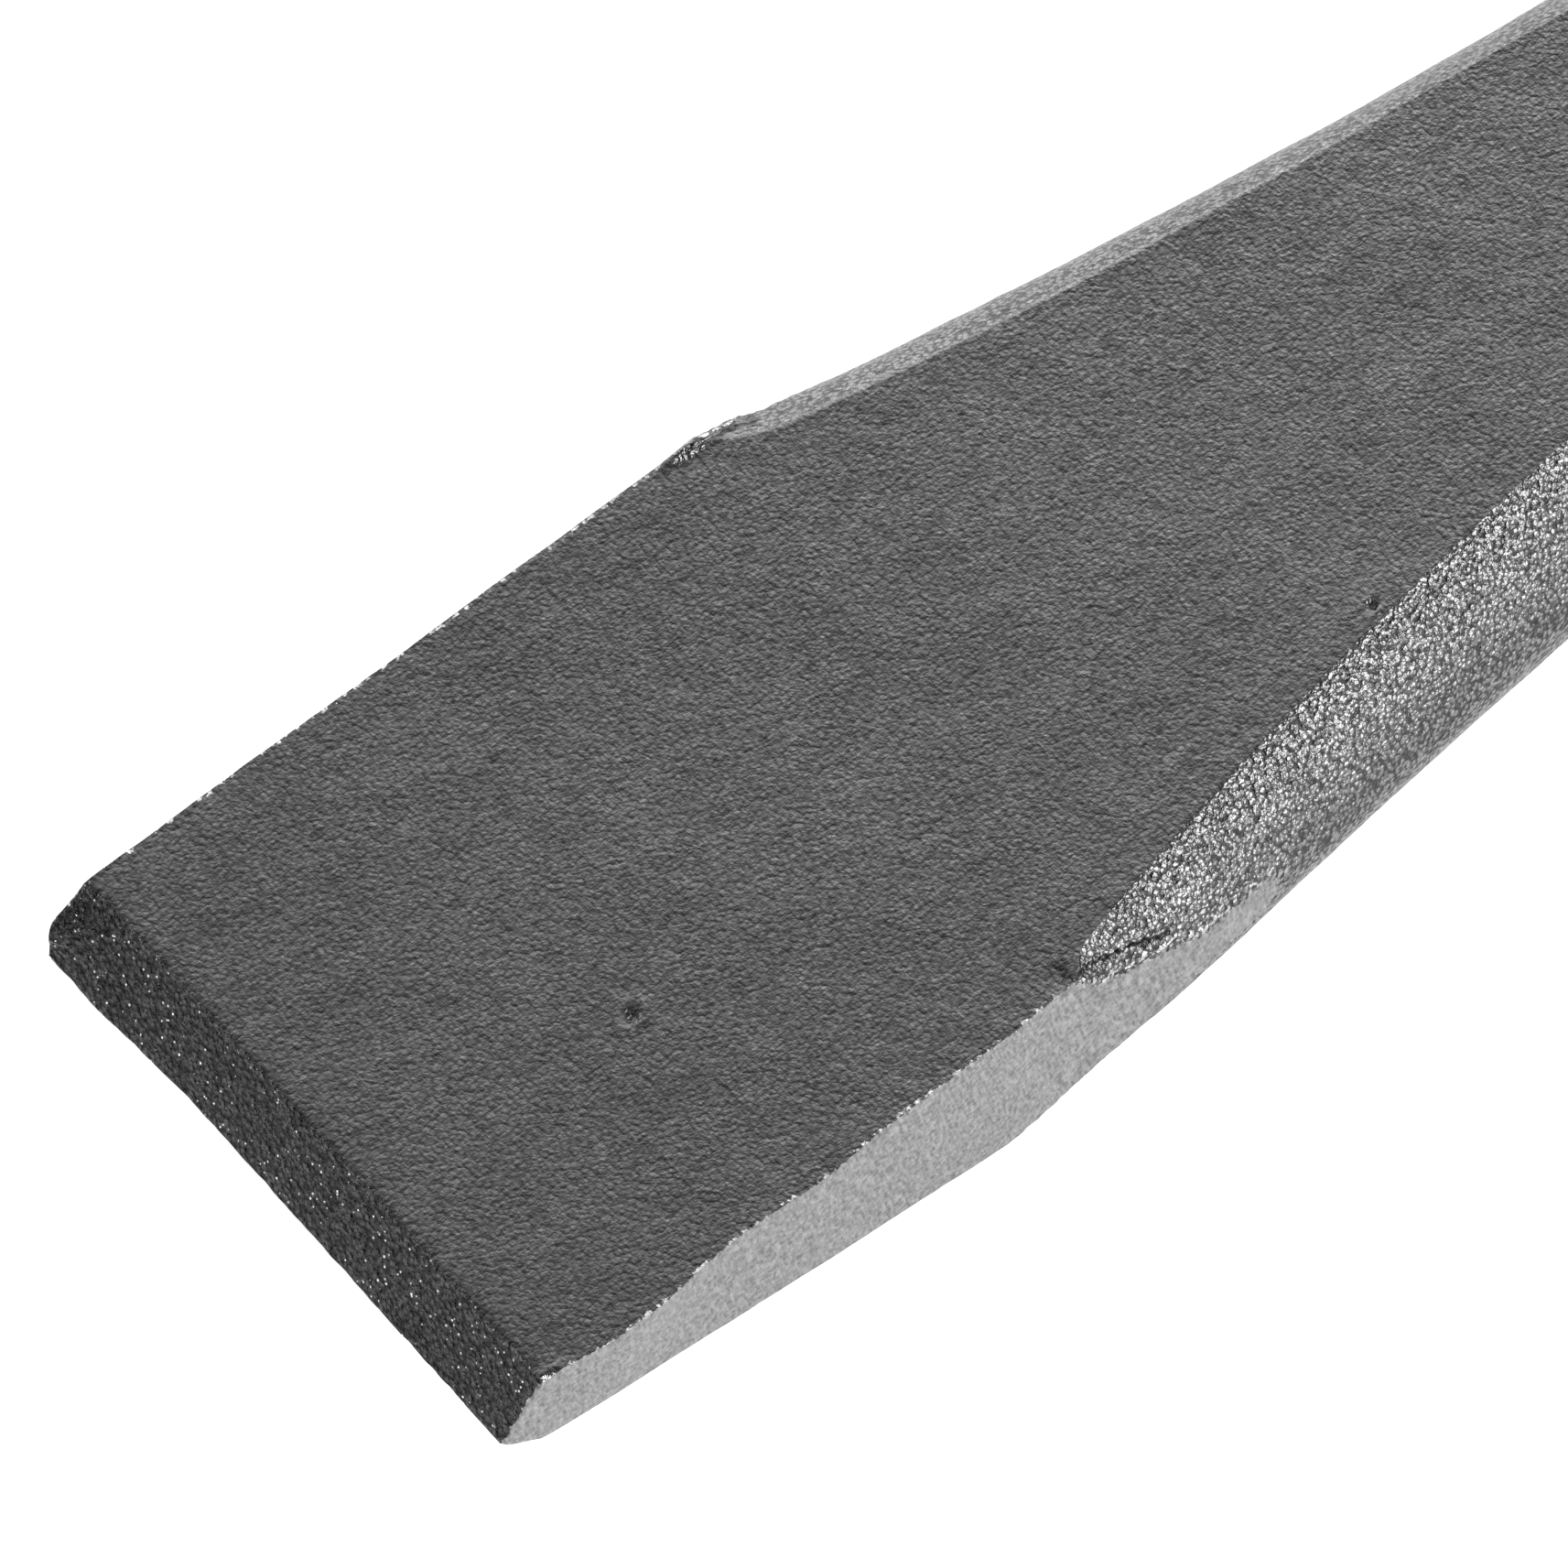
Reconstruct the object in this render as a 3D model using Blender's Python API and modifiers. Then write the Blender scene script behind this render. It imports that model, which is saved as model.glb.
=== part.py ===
"""Flat chisel bit for a rotary hammer, one steel forging.

A blade is hammered flat out of a round bar, its end and flanks are ground, and the far end is turned down and milled
to a drive shank. The tool lies along X with its cutting edge towards +X and its broad faces up and down. The origin is
the bottom centre of the bounding box. Lengths are in metres.
"""
import math

import bmesh
import bpy
from mathutils import Matrix, Vector

MM = 0.001

# Overall
LENGTH = 250 * MM
BLADE_WIDTH = 20 * MM
BAR_RADIUS = 7 * MM
BAR_SIDES = 48  # an even number, turned so that the bar has a facet at its top and bottom

# Forged end, measured back from the cutting edge
EDGE_HALF_THICKNESS = 1.6 * MM  # of the wedge, carried on to the cutting edge
WEDGE_SLOPE = 0.0764  # rise of each broad face, a half angle of 4.4 degrees
SPREAD_WIDTH = 3.95 * MM  # how far the hammered sides stand out past the bar
SPREAD_START = 12 * MM
SPREAD_END = 54 * MM
SHOULDER_WIDTH = 3.3 * MM  # how far the broad faces' borders stand out past the bar's own flats
SHOULDER_START = 19 * MM
SHOULDER_END = 60 * MM
SIDES_BEGIN = 15 * MM  # nearer the edge, the flanks are ground away and the section keeps its outline
SIDE_STATION_STEP = 1.5 * MM
RUNOUT_STATION_STEP = 4 * MM

# Ground end
EDGE_HEIGHT = -0.65 * MM  # the cutting edge lies below the middle
UPPER_BEVEL_RISE = 2.34 / 1.25
LOWER_BEVEL_RISE = 1.0
CORNER_RADIUS = 0.6 * MM
CORNER_SEGMENTS = 4

# Drive shank, measured forward from the rear face
SHANK_RADIUS = 5 * MM
SHANK_LENGTH = 41 * MM
NECK_LENGTH = 7 * MM
REAR_CHAMFER = 1.0 * MM
LOCK_GROOVE_DEPTH = 1.7 * MM
LOCK_GROOVE_WIDTH = 5.6 * MM
LOCK_GROOVE_START = 9 * MM
LOCK_GROOVE_LENGTH = 16 * MM
DRIVE_GROOVE_WIDTH = 2.75 * MM
DRIVE_GROOVE_DEPTH = 1.6 * MM
DRIVE_GROOVE_LENGTH = 28 * MM
DRIVE_GROOVE_RUNOUT = 14 * MM  # radius of the milling cutter

FACET_ANGLE = math.pi / BAR_SIDES  # half of what one facet of the bar spans
AXIS_HEIGHT = BAR_RADIUS * math.cos(FACET_ANGLE)
TIP_X = LENGTH / 2
REAR_X = -LENGTH / 2
MERGE = 1e-6


def clear_scene():
    for obj in list(bpy.data.objects):
        bpy.data.objects.remove(obj, do_unlink=True)


def new_collection(name):
    collection = bpy.data.collections.new(name)
    bpy.context.scene.collection.children.link(collection)
    return collection


def add_object(name, mesh, collection):
    obj = bpy.data.objects.new(name, mesh)
    collection.objects.link(obj)
    return obj


def blasted_steel():
    material = bpy.data.materials.new("blasted_steel")
    material.use_nodes = True
    shader = material.node_tree.nodes["Principled BSDF"]
    shader.inputs["Base Color"].default_value = (0.12, 0.12, 0.12, 1.0)
    shader.inputs["Roughness"].default_value = 0.55
    shader.inputs["Metallic"].default_value = 0.9
    return material


def half_thickness(back):
    """Half the distance between the broad faces, at a distance back from the cutting edge."""
    return EDGE_HALF_THICKNESS + WEDGE_SLOPE * back


def side_half_width(back):
    """Half the width at mid-height: the hammered sides ease out of the bar along a raised cosine."""
    share = (back - SPREAD_START) / (SPREAD_END - SPREAD_START)
    share = min(max(share, 0.0), 1.0)
    return BAR_RADIUS + SPREAD_WIDTH * (1 + math.cos(math.pi * share)) / 2


def face_half_width(back):
    """Half the width of a broad face: a flat cut into the bar, wider where the bar was hammered out."""
    flat = math.sqrt(max(BAR_RADIUS**2 - half_thickness(back) ** 2, 0.0))
    fade = max(1 - (back - SHOULDER_START) / (SHOULDER_END - SHOULDER_START), 0.0)
    return flat + SHOULDER_WIDTH * fade**3


def section(back):
    """One closed ring of the forged end: a broad face above and below, and a round side between each pair of borders."""
    outline_back = max(back, SIDES_BEGIN)
    border = face_half_width(outline_back)
    outer = side_half_width(outline_back)
    height = half_thickness(back)
    centre = (outer**2 - border**2 - height**2) / (2 * (outer - border))
    radius = outer - centre
    half_angle = math.atan2(height, border - centre)
    steps = BAR_SIDES // 2 - 1
    side = []
    for i in range(steps + 1):
        angle = half_angle * (1 - 2 * i / steps)
        side.append((centre + radius * math.cos(angle), radius * math.sin(angle)))
    opposite = [(-y, -z) for y, z in side]
    return [Vector((TIP_X - back, y, AXIS_HEIGHT + z)) for y, z in side + opposite]


def stations():
    """Distances back from the cutting edge, ending where the flats are as narrow as one facet of the bar."""
    last = (BAR_RADIUS * math.cos(FACET_ANGLE) - EDGE_HALF_THICKNESS) / WEDGE_SLOPE
    places = [-1 * MM]
    back = SIDES_BEGIN
    while back < SPREAD_END:
        places.append(back)
        back += SIDE_STATION_STEP
    while back < last - RUNOUT_STATION_STEP / 2:
        places.append(back)
        back += RUNOUT_STATION_STEP
    return places + [last]


def forged_end():
    """The hammered end as a loft, closed at the front and open where it meets the bar."""
    bm = bmesh.new()
    rings = [[bm.verts.new(point) for point in section(back)] for back in stations()]
    count = len(rings[0])
    for front, rear in zip(rings, rings[1:]):
        for i in range(count):
            j = (i + 1) % count
            bm.faces.new((front[i], front[j], rear[j], rear[i]))
    bm.faces.new(list(reversed(rings[0])))
    mesh = bpy.data.meshes.new("forged_end")
    bm.to_mesh(mesh)
    bm.free()
    return mesh


def turned_bar(collection):
    """The round bar, neck and shank: a profile turned about X, open where the forged end joins it."""
    front_x = TIP_X - stations()[-1]
    profile = [
        (front_x, BAR_RADIUS),
        (REAR_X + SHANK_LENGTH + NECK_LENGTH, BAR_RADIUS),
        (REAR_X + SHANK_LENGTH, SHANK_RADIUS),
        (REAR_X + REAR_CHAMFER, SHANK_RADIUS),
        (REAR_X, SHANK_RADIUS - REAR_CHAMFER),
    ]
    start = Matrix.Rotation(math.pi / 2 - FACET_ANGLE, 4, "X")
    bm = bmesh.new()
    verts = [bm.verts.new(start @ Vector((x, radius, 0))) for x, radius in profile]
    for a, b in zip(verts, verts[1:]):
        bm.edges.new((a, b))
    mesh = bpy.data.meshes.new("turned_bar")
    bm.to_mesh(mesh)
    bm.free()
    bar = add_object("turned_bar", mesh, collection)
    screw = bar.modifiers.new("turn", "SCREW")
    screw.axis = "X"
    screw.angle = 2 * math.pi
    screw.steps = BAR_SIDES
    screw.render_steps = BAR_SIDES
    screw.use_merge_vertices = True
    screw.merge_threshold = MERGE
    return bar


def join_forging(collection):
    """The forged end and the turned bar welded into one closed mesh, because they are one piece of steel."""
    bar = turned_bar(collection)
    bpy.context.view_layer.update()
    turned = bpy.data.meshes.new_from_object(bar.evaluated_get(bpy.context.evaluated_depsgraph_get()))
    turned.transform(Matrix.Translation((0, 0, AXIS_HEIGHT)))
    bpy.data.objects.remove(bar, do_unlink=True)
    bm = bmesh.new()
    bm.from_mesh(forged_end())
    bm.from_mesh(turned)
    bmesh.ops.remove_doubles(bm, verts=bm.verts, dist=MERGE)
    rear_ring = [edge for edge in bm.edges if edge.is_boundary]
    bmesh.ops.contextual_create(bm, geom=rear_ring)
    bmesh.ops.recalc_face_normals(bm, faces=bm.faces)
    mesh = bpy.data.meshes.new("chisel_bar")
    bm.to_mesh(mesh)
    bm.free()
    return mesh


def extruded(name, outline, half_width, collection):
    """A solid from an outline in X and Z, extruded to both sides in Y."""
    bm = bmesh.new()
    near = [bm.verts.new((x, -half_width, z)) for x, z in outline]
    face = bm.faces.new(near)
    grown = bmesh.ops.extrude_face_region(bm, geom=[face])
    moved = [item for item in grown["geom"] if isinstance(item, bmesh.types.BMVert)]
    bmesh.ops.translate(bm, vec=(0, 2 * half_width, 0), verts=moved)
    bmesh.ops.recalc_face_normals(bm, faces=bm.faces)
    mesh = bpy.data.meshes.new(name)
    bm.to_mesh(mesh)
    bm.free()
    return add_object(name, mesh, collection)


def round_upright_corners(cutter):
    """Rounds the four short edges where the ground end meets the ground flanks."""
    bm = bmesh.new()
    bm.from_mesh(cutter.data)
    reach = BLADE_WIDTH / 2 - MERGE
    corners = []
    for edge in bm.edges:
        ends = [vert.co for vert in edge.verts]
        on_flank = abs(ends[0].y) > reach and abs(ends[0].y - ends[1].y) < MERGE
        at_front = min(end.x for end in ends) > TIP_X - 4 * BAR_RADIUS
        if on_flank and at_front and abs(ends[0].z - ends[1].z) > MM:
            corners.append(edge)
    bmesh.ops.bevel(bm, geom=corners, offset=CORNER_RADIUS, segments=CORNER_SEGMENTS, profile=0.5, affect="EDGES")
    bm.to_mesh(cutter.data)
    bm.free()


def grinding_envelope(collection):
    """What the grinding leaves: everything between the two flanks and behind the two end bevels."""
    reach = 2 * BAR_RADIUS
    edge_z = AXIS_HEIGHT + EDGE_HEIGHT
    top = edge_z + reach
    bottom = edge_z - reach
    behind = REAR_X - reach
    outline = [
        (TIP_X, edge_z),
        (TIP_X - reach / UPPER_BEVEL_RISE, top),
        (behind, top),
        (behind, bottom),
        (TIP_X - reach / LOWER_BEVEL_RISE, bottom),
    ]
    envelope = extruded("grinding_envelope", outline, BLADE_WIDTH / 2, collection)
    round_upright_corners(envelope)
    return envelope


def locking_groove_cutter(side, collection):
    """A round-bottomed closed groove: a capsule whose radius gives the groove its width and depth."""
    half_width = LOCK_GROOVE_WIDTH / 2
    bottom = SHANK_RADIUS - LOCK_GROOVE_DEPTH
    rim = math.sqrt(SHANK_RADIUS**2 - half_width**2)
    rise = rim - bottom
    radius = (half_width**2 + rise**2) / (2 * rise)
    offset = bottom + radius
    overhang = math.sqrt(radius**2 - (offset - SHANK_RADIUS) ** 2)
    half_straight = LOCK_GROOVE_LENGTH / 2 - overhang
    bm = bmesh.new()
    bmesh.ops.create_uvsphere(bm, u_segments=40, v_segments=20, radius=radius)
    bmesh.ops.rotate(bm, verts=bm.verts, cent=(0, 0, 0), matrix=Matrix.Rotation(math.pi / 2, 3, "Y"))
    middle = [vert for vert in bm.verts if abs(vert.co.x) < MERGE]
    seam = [edge for edge in bm.edges if all(vert in middle for vert in edge.verts)]
    bmesh.ops.split_edges(bm, edges=seam)
    for vert in bm.verts:
        faces = vert.link_faces
        forward = sum(face.calc_center_median().x for face in faces) > 0
        vert.co.x += half_straight if forward else -half_straight
    loops = [edge for edge in bm.edges if edge.is_boundary]
    bmesh.ops.bridge_loops(bm, edges=loops)
    bmesh.ops.recalc_face_normals(bm, faces=bm.faces)
    mesh = bpy.data.meshes.new("locking_groove")
    bm.to_mesh(mesh)
    bm.free()
    cutter = add_object("locking_groove_cutter", mesh, collection)
    middle_x = REAR_X + LOCK_GROOVE_START + LOCK_GROOVE_LENGTH / 2
    cutter.location = (middle_x, side * offset, AXIS_HEIGHT)
    return cutter


def drive_groove_cutter(side, collection):
    """An open groove with a flat bottom, which runs out forward along the arc of the milling cutter."""
    bottom = SHANK_RADIUS - DRIVE_GROOVE_DEPTH
    top = SHANK_RADIUS + DRIVE_GROOVE_DEPTH
    clear = 2 * REAR_CHAMFER
    arc_span = math.acos(1 - (top - bottom) / DRIVE_GROOVE_RUNOUT)
    surface_span = math.acos(1 - DRIVE_GROOVE_DEPTH / DRIVE_GROOVE_RUNOUT)
    arc_start = REAR_X + DRIVE_GROOVE_LENGTH - DRIVE_GROOVE_RUNOUT * math.sin(surface_span)
    outline = [(REAR_X - clear, top), (REAR_X - clear, bottom)]
    steps = 8
    for i in range(steps + 1):
        angle = arc_span * i / steps
        x = arc_start + DRIVE_GROOVE_RUNOUT * math.sin(angle)
        z = bottom + DRIVE_GROOVE_RUNOUT * (1 - math.cos(angle))
        outline.append((x, z))
    placed = [(x, AXIS_HEIGHT + side * z) for x, z in outline]
    return extruded("drive_groove_cutter", placed, DRIVE_GROOVE_WIDTH / 2, collection)


def cut(body, cutter, operation):
    cutter.hide_render = True
    cutter.display_type = "WIRE"
    boolean = body.modifiers.new(cutter.name, "BOOLEAN")
    boolean.operation = operation
    boolean.solver = "EXACT"
    boolean.object = cutter


def main():
    clear_scene()
    parts = new_collection("flat_chisel_bit")
    cutters = new_collection("cutters")
    body = add_object("chisel_bar", join_forging(cutters), parts)
    body.data.materials.append(blasted_steel())
    cut(body, grinding_envelope(cutters), "INTERSECT")
    for side in (1, -1):
        cut(body, locking_groove_cutter(side, cutters), "DIFFERENCE")
        cut(body, drive_groove_cutter(side, cutters), "DIFFERENCE")
    body.data.shade_smooth()
    body.data.set_sharp_from_angle(angle=math.radians(25))


main()
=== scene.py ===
"""Looks of the flat chisel bit: a fine mesh of the forging, in blasted and ground steel.

"back" is the distance in metres behind the cutting edge, and Y is across the blade. "height" is Z measured
from the bit's own middle plane. Forging and shank repeat the solid's sizes, unless a comment says otherwise.
"""
import math

import bmesh
import bpy
import numpy as np
from mathutils import Matrix, Vector, noise


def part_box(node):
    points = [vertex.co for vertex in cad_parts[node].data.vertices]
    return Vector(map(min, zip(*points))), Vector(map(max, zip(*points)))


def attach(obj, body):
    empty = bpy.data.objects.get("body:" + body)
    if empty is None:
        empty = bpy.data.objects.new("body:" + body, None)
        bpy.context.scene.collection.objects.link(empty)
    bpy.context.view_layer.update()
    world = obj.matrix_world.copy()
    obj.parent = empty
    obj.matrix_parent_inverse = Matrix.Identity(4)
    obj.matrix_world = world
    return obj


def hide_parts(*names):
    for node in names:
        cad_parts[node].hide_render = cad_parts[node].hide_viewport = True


MM = 0.001

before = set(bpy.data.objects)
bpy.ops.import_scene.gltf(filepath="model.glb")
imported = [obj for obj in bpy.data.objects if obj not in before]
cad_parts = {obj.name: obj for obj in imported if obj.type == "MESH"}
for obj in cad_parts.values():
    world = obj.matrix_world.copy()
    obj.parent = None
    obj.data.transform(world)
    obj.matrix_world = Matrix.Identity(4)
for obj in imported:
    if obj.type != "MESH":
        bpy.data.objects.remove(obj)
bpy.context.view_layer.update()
LOW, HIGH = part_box("chisel_bar")

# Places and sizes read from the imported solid
TIP_X = HIGH.x
REAR_X = LOW.x
HALF_BLADE = (HIGH.y - LOW.y) / 2
AXIS_HEIGHT = (HIGH.z + LOW.z) / 2
BAR_SIDES = 48
BAR_RADIUS = AXIS_HEIGHT / math.cos(math.pi / BAR_SIDES)

# The forged end
EDGE_HALF_THICKNESS = 1.6 * MM
WEDGE_SLOPE = 0.0764
SPREAD_WIDTH = 3.95 * MM
SPREAD_START = 12 * MM
SPREAD_END = 54 * MM
SHOULDER_WIDTH = 3.3 * MM
SHOULDER_START = 19 * MM
SHOULDER_END = 60 * MM
SIDES_BEGIN = 15 * MM

# The ground end
EDGE_HEIGHT = -0.65 * MM
UPPER_BEVEL_RISE = 2.34 / 1.25
LOWER_BEVEL_RISE = 0.78  # a longer bevel than the solid's
CORNER_RADIUS = 0.2 * MM  # sharper than the solid's
CORNER_LEAD = 0.22 * MM  # how far the -Y corner of the cutting edge stands ahead of the rest of it
CORNER_LEAD_REACH = 2.4 * MM
NOSE_LEAD = 0.3 * MM  # how far the blunt nose at that corner stands ahead
NOSE_BULGE = 0.6 * MM  # how much fuller the upper bevel is there
NOSE_HEIGHT = 0.5 * MM
NOSE_REACH = 0.65 * MM
NOSE_RADIUS = 0.5 * MM
EDGE_X = TIP_X - NOSE_LEAD

# The grinding and hammering are not quite centred, so the two sides of the forged end differ
LOPSIDED = 0.5 * MM
LOPSIDED_START = (17 * MM, 21 * MM)
LOPSIDED_FADE = (46 * MM, 68 * MM)
SEEN_BORDER_ABOVE = (19.4 * MM, 20.4 * MM)  # where the +Y side's upper border steps in, and then the lower
SEEN_BORDER_BELOW = (12 * MM, 17 * MM)
SEEN_WAIST = 0.26 * MM
SEEN_WAIST_START = (22 * MM, 31 * MM)
FAR_BLADE_WIDENING = 0.6 * MM
FAR_BLADE_END = (21.4 * MM, 24.2 * MM)
FAR_SWELL = 0.45 * MM
FAR_SWELL_MIDDLE = 23.6 * MM
FAR_SWELL_REACH = 2.2 * MM
FLANK_INSET = 0.38 * MM
FLANK_FLARE = 0.42 * MM
FLANK_FLARES = [(4.2 * MM, 2.6 * MM, 1.0), (10.6 * MM, 2.0 * MM, 0.45)]  # middle, reach and share of each
TONGUE_STEP = 0.12 * MM  # the ground surface narrows to a tongue behind the blade
TONGUE_STEP_PLACE = (17 * MM, 19.5 * MM)
TONGUE_SLOPE = 0.145
TONGUE_START = 23.8 * MM
GROUND_END = 26.7 * MM

# The drive shank, measured forward from the rear face
SHANK_RADIUS = 5 * MM
SHANK_LENGTH = 41 * MM
NECK_LENGTH = 7 * MM
REAR_CHAMFER = 1.0 * MM
LOCK_GROOVE_DEPTH = 1.7 * MM
LOCK_GROOVE_WIDTH = 5.6 * MM
LOCK_GROOVE_START = 9 * MM
LOCK_GROOVE_LENGTH = 16 * MM
DRIVE_GROOVE_WIDTH = 2.75 * MM
DRIVE_GROOVE_DEPTH = 1.6 * MM
DRIVE_GROOVE_LENGTH = 28 * MM
DRIVE_GROOVE_RUNOUT = 14 * MM
TURNED_LENGTH = 47 * MM  # the shank and its neck keep the satin rings of the lathe
EASING_RADIUS = 4 * MM
EASING_ANGLE = math.radians(30)
EASING_STEPS = 4

# The fine mesh of the forged end, and the plainer one behind it
BORDER_GAP = 0.02 * MM  # between a broad face's border and the ground flank
LEAST_ROUNDING = 0.05 * MM  # between that border and the outermost point of the side
FACE_STEPS = 124
SIDE_STEPS = 36
STATION_STEP = 0.19 * MM
VISIBLE_LENGTH = 46 * MM
FAR_STATION_STEP = 0.5 * MM
FINE_LENGTH = 54 * MM
REAR_START = FINE_LENGTH + FAR_STATION_STEP  # the strip between the two meshes is bridged
REAR_STEPS = 96
REAR_FACE_STEPS = 12
REAR_STATION_STEP = 1.5 * MM
MERGE = 1e-6

# The steel's finish
GRINDING_ANGLE = math.radians(14)  # of the grinding lines to the vertical
GRINDING_DEPTH = 0.010 * MM
TURNING_DEPTH = 0.012 * MM

# The studio
FLOOR_SIZE = 3.0
FLOOR_GLOW = 0.64
SKY_LEVEL = 0.352
SKY_STEEPNESS = 10.0  # how many times brighter the far side is than straight up
SKY_BRIGHT_SIDE = (-0.633, -0.774, 0.0)
LIGHT_DISTANCE = 0.8

# The view, aimed at a point VIEW_BACK behind the cutting edge
VIEW_DIRECTION = Vector((0.327, 0.400, 0.856)).normalized()  # from the bit to the camera
VIEW_ROLL = math.radians(0.92)
VIEW_DISTANCE = 0.9
VIEW_WIDTH = 41.90 * MM  # what the picture's width spans at the bit
SENSOR_WIDTH = 36.0
VIEW_BACK = 17.07 * MM
VIEW_ACROSS = 0.05 * MM
VIEW_RISE = 3.50 * MM


# ---- The forging's outline


def half_thickness(back):
    return EDGE_HALF_THICKNESS + WEDGE_SLOPE * back


def side_half_width(back):
    share = np.clip((back - SPREAD_START) / (SPREAD_END - SPREAD_START), 0, 1)
    return BAR_RADIUS + SPREAD_WIDTH * (1 + np.cos(np.pi * share)) / 2


def face_half_width(back):
    flat = np.sqrt(np.maximum(BAR_RADIUS**2 - half_thickness(back) ** 2, 0))
    fade = np.maximum(1 - (back - SHOULDER_START) / (SHOULDER_END - SHOULDER_START), 0)
    return flat + SHOULDER_WIDTH * fade**3


def ramp(value, start, end):
    """0 before start, 1 after end, and a smooth step between them."""
    share = np.clip((value - start) / (end - start), 0, 1)
    return share * share * (3 - 2 * share)


def between(value, rise, fall):
    """1 between a smooth step up and one down, each given by its start and end."""
    return ramp(value, *rise) * (1 - ramp(value, *fall))


def bump(value, middle, reach):
    return np.exp(-(((value - middle) / reach) ** 2))


def flank_limit(back, side, share_up):
    """How far out the ground flank of a side (+1 or -1) stands. share_up is 0 at the bottom and 1 on top."""
    flare = sum(share * bump(back, middle, reach) for middle, reach, share in FLANK_FLARES)
    tongue = TONGUE_STEP * ramp(back, *TONGUE_STEP_PLACE)
    tongue = tongue + TONGUE_SLOPE * np.clip(back - TONGUE_START, 0, GROUND_END - TONGUE_START)
    seen = HALF_BLADE - FLANK_INSET + FLANK_FLARE * flare * share_up - tongue
    return np.where(side > 0, np.minimum(seen, HALF_BLADE), HALF_BLADE)


def lopsided(back, side, upper):
    """What the two sides add to the border of the broad face and to the outermost half width."""
    fade = 1 - ramp(back, *LOPSIDED_FADE)
    settled = ramp(back, *LOPSIDED_START)
    above = ramp(back, *SEEN_BORDER_ABOVE)
    below = ramp(back, *SEEN_BORDER_BELOW)
    seen_border = -LOPSIDED * np.where(upper, above, below)
    far_border = LOPSIDED * settled + FAR_BLADE_WIDENING * (1 - ramp(back, *FAR_BLADE_END))
    seen_outer = -1.18 * LOPSIDED * settled - SEEN_WAIST * ramp(back, *SEEN_WAIST_START)
    far_outer = 0.8 * LOPSIDED * settled + FAR_SWELL * bump(back, FAR_SWELL_MIDDLE, FAR_SWELL_REACH)
    border = np.where(side > 0, seen_border, far_border)
    outer = np.where(side > 0, seen_outer, far_outer)
    return fade * border, fade * outer


def ring_columns(face_steps, side_steps):
    """Arrays over a section's points: on a face or not, the share along it from 1 to -1, and which half."""
    evenly = [1 - 2 * i / face_steps for i in range(face_steps)]
    crowded = [0.5 * share + 0.5 * math.sin(share * math.pi / 2) for share in evenly]
    half = [(1, share) for share in crowded]
    half += [(0, 1 - 2 * i / side_steps) for i in range(side_steps)]
    rows = [(on_face, share, 1) for on_face, share in half]
    rows += [(on_face, share, -1) for on_face, share in half]
    return np.array(rows, float).T


def forged_points(back, columns):
    """y, height and outward direction of section points before grinding. back has one row for a section."""
    on_face, share, half = columns
    side = np.where(on_face > 0, np.where(share * half >= 0, 1, -1), -half)
    outline_back = np.maximum(back, SIDES_BEGIN)
    height = half_thickness(back)
    upper = np.where(on_face > 0, half, half * share) >= 0
    more_border, more_outer = lopsided(outline_back, side, upper)
    limit = flank_limit(back, side, np.where(upper, 1, 0))
    border = np.minimum(face_half_width(outline_back) + more_border, limit - BORDER_GAP)
    outer = np.maximum(side_half_width(outline_back) + more_outer, border + LEAST_ROUNDING)
    centre = (outer**2 - border**2 - height**2) / (2 * (outer - border))
    radius = outer - centre
    angle = np.arctan2(height, border - centre) * share
    y = np.where(on_face > 0, half * border * share, side * (centre + radius * np.cos(angle)))
    z = half * np.where(on_face > 0, height, radius * np.sin(angle))
    out_y = np.where(on_face > 0, 0, side * np.cos(angle))
    out_z = half * np.where(on_face > 0, 1, np.sin(angle))
    return y, z, out_y, out_z


# ---- The relief that hammering and handling left


def noise_field(x, y, z, size, seed):
    """Smooth noise between about -1 and 1 whose lumps are about the given size."""
    shift = Vector((seed * 17.3, seed * 5.1, seed * 9.7))
    points = np.stack([x, y, z], -1).reshape(-1, 3) / size
    values = [noise.noise(Vector(point) + shift) for point in points.tolist()]
    return np.array(values).reshape(x.shape)


# Depth and size in mm of the skin's lumps, from the largest to the finest
SKIN_LUMPS = [(0.045, 7), (0.022, 2.4), (0.014, 0.8), (0.010, 0.4)]
# The fold line on the +Y side just above the ground flank, as (back, height) in mm
FOLD_LINE = [(18.9, 3.13), (19.3, 3.07), (19.95, 2.86), (20.95, 2.49), (21.95, 2.22), (22.7, 1.95)]
FOLD_ENDS = ((18.9 * MM, 19.2 * MM), (22.4 * MM, 23.6 * MM))
FOLD_FADE = (8.7 * MM, 8.95 * MM)  # inwards from the side, it ends before the broad face
FOLD_DEPTH = 0.09 * MM
FOLD_HALF_WIDTH = 0.08 * MM
FOLD_LIP_OFFSET = -0.26 * MM
FOLD_LIP_REACH = 0.2 * MM
# A burr turned up on the -Y side where the blade meets the flare, as (back, y) in mm along its inner crevice
BURR_LINE = [(20.2, -9.84), (22.0, -9.76), (23.0, -9.70), (24.2, -9.52)]
BURR_ENDS = ((20.4 * MM, 22.2 * MM), (22.9 * MM, 24.4 * MM))
BURR_FOOT = (-0.22 * MM, 0.16 * MM)
CREVICE_ENDS = ((21.5 * MM, 22.0 * MM), (23.5 * MM, 24.1 * MM))
BURR_HEIGHT = 0.34 * MM
BURR_UNEVENNESS = 0.07 * MM
PIT_NARROWNESS = 1.3  # how much shorter than long each pit is across the blade
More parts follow.
